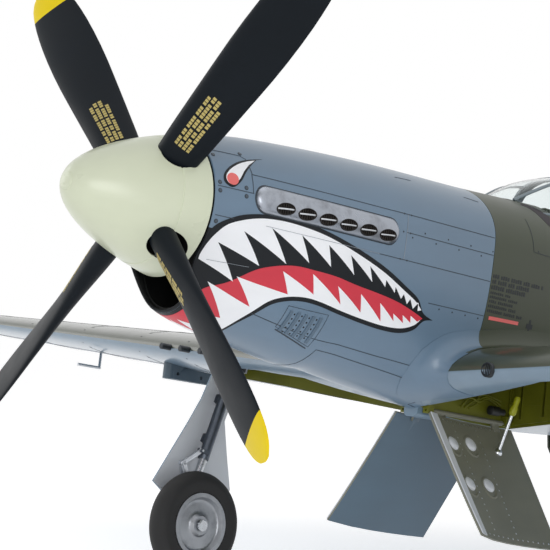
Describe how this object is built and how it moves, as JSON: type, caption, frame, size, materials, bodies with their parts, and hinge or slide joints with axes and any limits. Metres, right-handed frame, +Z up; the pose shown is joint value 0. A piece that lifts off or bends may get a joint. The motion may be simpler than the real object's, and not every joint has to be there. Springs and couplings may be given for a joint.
{
  "type": "remote-control warbird plane",
  "caption": "Low-wing remote-control fighter with a paddle-blade propeller, chin intake, belly scoop, sliding canopy, hinged control surfaces and folding undercarriage.",
  "frame": {"origin": "on the ground under the middle of the bounding box, with the model standing on its wheels", "axes": "+X to the port wing tip, +Y aft, +Z up; the nose points to -Y and is 10.5 degrees up"},
  "size_m": [1.7, 1.4589, 0.5346],
  "materials": {
    "nose_paint": "satin paint",
    "underside_paint": "satin paint",
    "olive_paint": "matt paint",
    "spinner_paint": "satin paint",
    "blade_black": "matt",
    "shaft_steel": "turned",
    "motor_metal": "anodised",
    "leg_metal": "satin",
    "plywood": "bare",
    "battery_wrap": "shrink film",
    "dark_plastic": "moulded",
    "exhaust_shroud": "weathered",
    "exhaust_iron": "heat stained",
    "spar_tube": "drawn tube",
    "primer_green": "primer",
    "radiator_core": "matrix",
    "clear_glazing": "clear",
    "frame_grey": "satin paint",
    "cockpit_interior": "matt",
    "gun_metal": "matt",
    "pylon_slate": "satin paint",
    "lens": "tinted lens",
    "tyre_rubber": "matt"
  },
  "bodies": {
    "airframe": {"cowl": "nose_paint", "fuselage": "olive_paint", "bulkheads": "plywood", "battery_tray": "plywood", "motor_stator": "motor_metal", "electronics": "dark_plastic", "battery": "battery_wrap", "exhaust_shrouds": "exhaust_shroud", "exhaust_stacks": "exhaust_iron", "left_wing": "olive_paint", "right_wing": "olive_paint", "wing_spar": "spar_tube", "wheel_bays": "primer_green", "tailplane": "olive_paint", "fin": "olive_paint", "belly_scoop": "underside_paint", "radiator": "radiator_core", "windscreen": "clear_glazing", "windscreen_frame": "frame_grey", "cockpit": "cockpit_interior", "servos": "dark_plastic", "hinge_blocks": "dark_plastic", "retract_units": "dark_plastic", "gun_barrels": "gun_metal", "pylons": "pylon_slate", "pitot": "gun_metal", "nav_lights": "lens", "tail_bracket": "leg_metal"},
    "propeller": {"spinner_cone": "spinner_paint", "spinner_backplate": "spinner_paint", "propeller_blades": "blade_black", "prop_shaft": "shaft_steel", "motor_bell": "motor_metal"},
    "port_aileron": {"left_aileron": "olive_paint"},
    "starboard_aileron": {"right_aileron": "olive_paint"},
    "port_flap": {"left_flap": "olive_paint"},
    "starboard_flap": {"right_flap": "olive_paint"},
    "elevator_pair": {"elevators": "olive_paint"},
    "rudder_panel": {"rudder": "olive_paint"},
    "hood": {"canopy": "clear_glazing", "canopy_frame": "frame_grey"},
    "tail_caster": {"tail_fork": "leg_metal"},
    "tail_roller": {"tail_wheel": "tyre_rubber"},
    "port_gear": {"left_leg": "leg_metal", "left_leg_door": "underside_paint"},
    "port_slider": {"left_oleo": "shaft_steel"},
    "port_wheel": {"left_hub": "leg_metal", "left_tyre": "tyre_rubber"},
    "port_upper_arm": {"left_upper_link": "leg_metal"},
    "port_lower_arm": {"left_lower_link": "leg_metal"},
    "port_inner_door": {"left_bay_door": "underside_paint"},
    "starboard_gear": {"right_leg": "leg_metal", "right_leg_door": "underside_paint"},
    "starboard_slider": {"right_oleo": "shaft_steel"},
    "starboard_wheel": {"right_hub": "leg_metal", "right_tyre": "tyre_rubber"},
    "starboard_upper_arm": {"right_upper_link": "leg_metal"},
    "starboard_lower_arm": {"right_lower_link": "leg_metal"},
    "starboard_inner_door": {"right_bay_door": "underside_paint"}
  },
  "joints": [
    {"name": "propeller_spin", "type": "hinge", "parent": "airframe", "child": "propeller", "pos_m": [0, -0.6338, 0.34069], "axis": [0, -0.9833, 0.1822], "continuous": true},
    {"name": "port_aileron_hinge", "type": "hinge", "parent": "airframe", "child": "port_aileron", "pos_m": [0.6, -0.1279, 0.20084], "axis": [0.9874, -0.1135, 0.1106], "range_deg": [-20, 20]},
    {"name": "starboard_aileron_hinge", "type": "hinge", "parent": "airframe", "child": "starboard_aileron", "pos_m": [-0.6, -0.1279, 0.20084], "axis": [0.9874, 0.1135, -0.1106], "range_deg": [-20, 20]},
    {"name": "port_flap_hinge", "type": "hinge", "parent": "airframe", "child": "port_flap", "pos_m": [0.22, -0.08421, 0.15826], "axis": [-0.9874, 0.1135, -0.1106], "range_deg": [0, 45]},
    {"name": "starboard_flap_hinge", "type": "hinge", "parent": "airframe", "child": "starboard_flap", "pos_m": [-0.22, -0.08421, 0.15826], "axis": [-0.9874, -0.1135, 0.1106], "range_deg": [0, 45]},
    {"name": "elevator_hinge", "type": "hinge", "parent": "airframe", "child": "elevator_pair", "pos_m": [0, 0.55132, 0.15562], "axis": [1, 0, 0], "range_deg": [-22, 22]},
    {"name": "rudder_hinge", "type": "hinge", "parent": "airframe", "child": "rudder_panel", "pos_m": [0, 0.59256, 0.23545], "axis": [0, 0.1822, 0.9833], "range_deg": [-25, 25]},
    {"name": "tail_steer", "type": "hinge", "parent": "airframe", "child": "tail_caster", "pos_m": [0, 0.42574, 0.10364], "axis": [0, 0.1822, 0.9833], "range_deg": [-25, 25]},
    {"name": "tail_wheel_spin", "type": "hinge", "parent": "tail_caster", "child": "tail_roller", "pos_m": [0, 0.43437, 0.024], "axis": [1, 0, 0], "continuous": true},
    {"name": "canopy_slide", "type": "slide", "parent": "airframe", "child": "hood", "axis": [0, 0.9833, -0.1822], "range_m": [0, 0.12]},
    {"name": "port_gear_fold", "type": "hinge", "parent": "airframe", "child": "port_gear", "pos_m": [0.2915, -0.31334, 0.20401], "axis": [0.2461, 0.9248, -0.2902], "range_deg": [0, 84.63]},
    {"name": "port_oleo_slide", "type": "slide", "parent": "port_gear", "child": "port_slider", "axis": [0, 0.4511, 0.8925], "range_m": [-0.002, 0.006], "stiffness_N_per_m": 3000, "springref_m": -0.006},
    {"name": "port_wheel_spin", "type": "hinge", "parent": "port_slider", "child": "port_wheel", "pos_m": [0.272, -0.39043, 0.0515], "axis": [1, 0, 0], "continuous": true},
    {"name": "port_upper_link_hinge", "type": "hinge", "parent": "port_gear", "child": "port_upper_arm", "pos_m": [0.2915, -0.36513, 0.12038], "axis": [-1, 0, 0], "range_deg": [-3.5, 10]},
    {"name": "port_lower_link_hinge", "type": "hinge", "parent": "port_slider", "child": "port_lower_arm", "pos_m": [0.2915, -0.38318, 0.08468], "axis": [1, 0, 0], "range_deg": [-3.5, 10]},
    {"name": "port_inner_door_hinge", "type": "hinge", "parent": "airframe", "child": "port_inner_door", "pos_m": [0.0135, -0.31669, 0.1585], "axis": [0, -0.9833, 0.1822], "range_deg": [0, 64]},
    {"name": "starboard_gear_fold", "type": "hinge", "parent": "airframe", "child": "starboard_gear", "pos_m": [-0.2915, -0.31334, 0.20401], "axis": [0.2461, -0.9248, 0.2902], "range_deg": [0, 84.63]},
    {"name": "starboard_oleo_slide", "type": "slide", "parent": "starboard_gear", "child": "starboard_slider", "axis": [0, 0.4511, 0.8925], "range_m": [-0.002, 0.006], "stiffness_N_per_m": 3000, "springref_m": -0.006},
    {"name": "starboard_wheel_spin", "type": "hinge", "parent": "starboard_slider", "child": "starboard_wheel", "pos_m": [-0.272, -0.39043, 0.0515], "axis": [1, 0, 0], "continuous": true},
    {"name": "starboard_upper_link_hinge", "type": "hinge", "parent": "starboard_gear", "child": "starboard_upper_arm", "pos_m": [-0.2915, -0.36513, 0.12038], "axis": [-1, 0, 0], "range_deg": [-3.5, 10]},
    {"name": "starboard_lower_link_hinge", "type": "hinge", "parent": "starboard_slider", "child": "starboard_lower_arm", "pos_m": [-0.2915, -0.38318, 0.08468], "axis": [1, 0, 0], "range_deg": [-3.5, 10]},
    {"name": "starboard_inner_door_hinge", "type": "hinge", "parent": "airframe", "child": "starboard_inner_door", "pos_m": [-0.0135, -0.31669, 0.1585], "axis": [0, 0.9833, -0.1822], "range_deg": [0, 64]}
  ],
  "couplings": [
    {"joint": "starboard_aileron_hinge", "follows": "port_aileron_hinge", "ratio": -1},
    {"joint": "starboard_flap_hinge", "follows": "port_flap_hinge", "ratio": 1},
    {"joint": "tail_steer", "follows": "rudder_hinge", "ratio": 1},
    {"joint": "starboard_gear_fold", "follows": "port_gear_fold", "ratio": 1},
    {"joint": "starboard_inner_door_hinge", "follows": "port_inner_door_hinge", "ratio": 1},
    {"joint": "port_upper_link_hinge", "follows": "port_oleo_slide", "rad_per_m": 27.9},
    {"joint": "port_lower_link_hinge", "follows": "port_oleo_slide", "rad_per_m": 27.9},
    {"joint": "starboard_upper_link_hinge", "follows": "starboard_oleo_slide", "rad_per_m": 27.9},
    {"joint": "starboard_lower_link_hinge", "follows": "starboard_oleo_slide", "rad_per_m": 27.9}
  ]
}
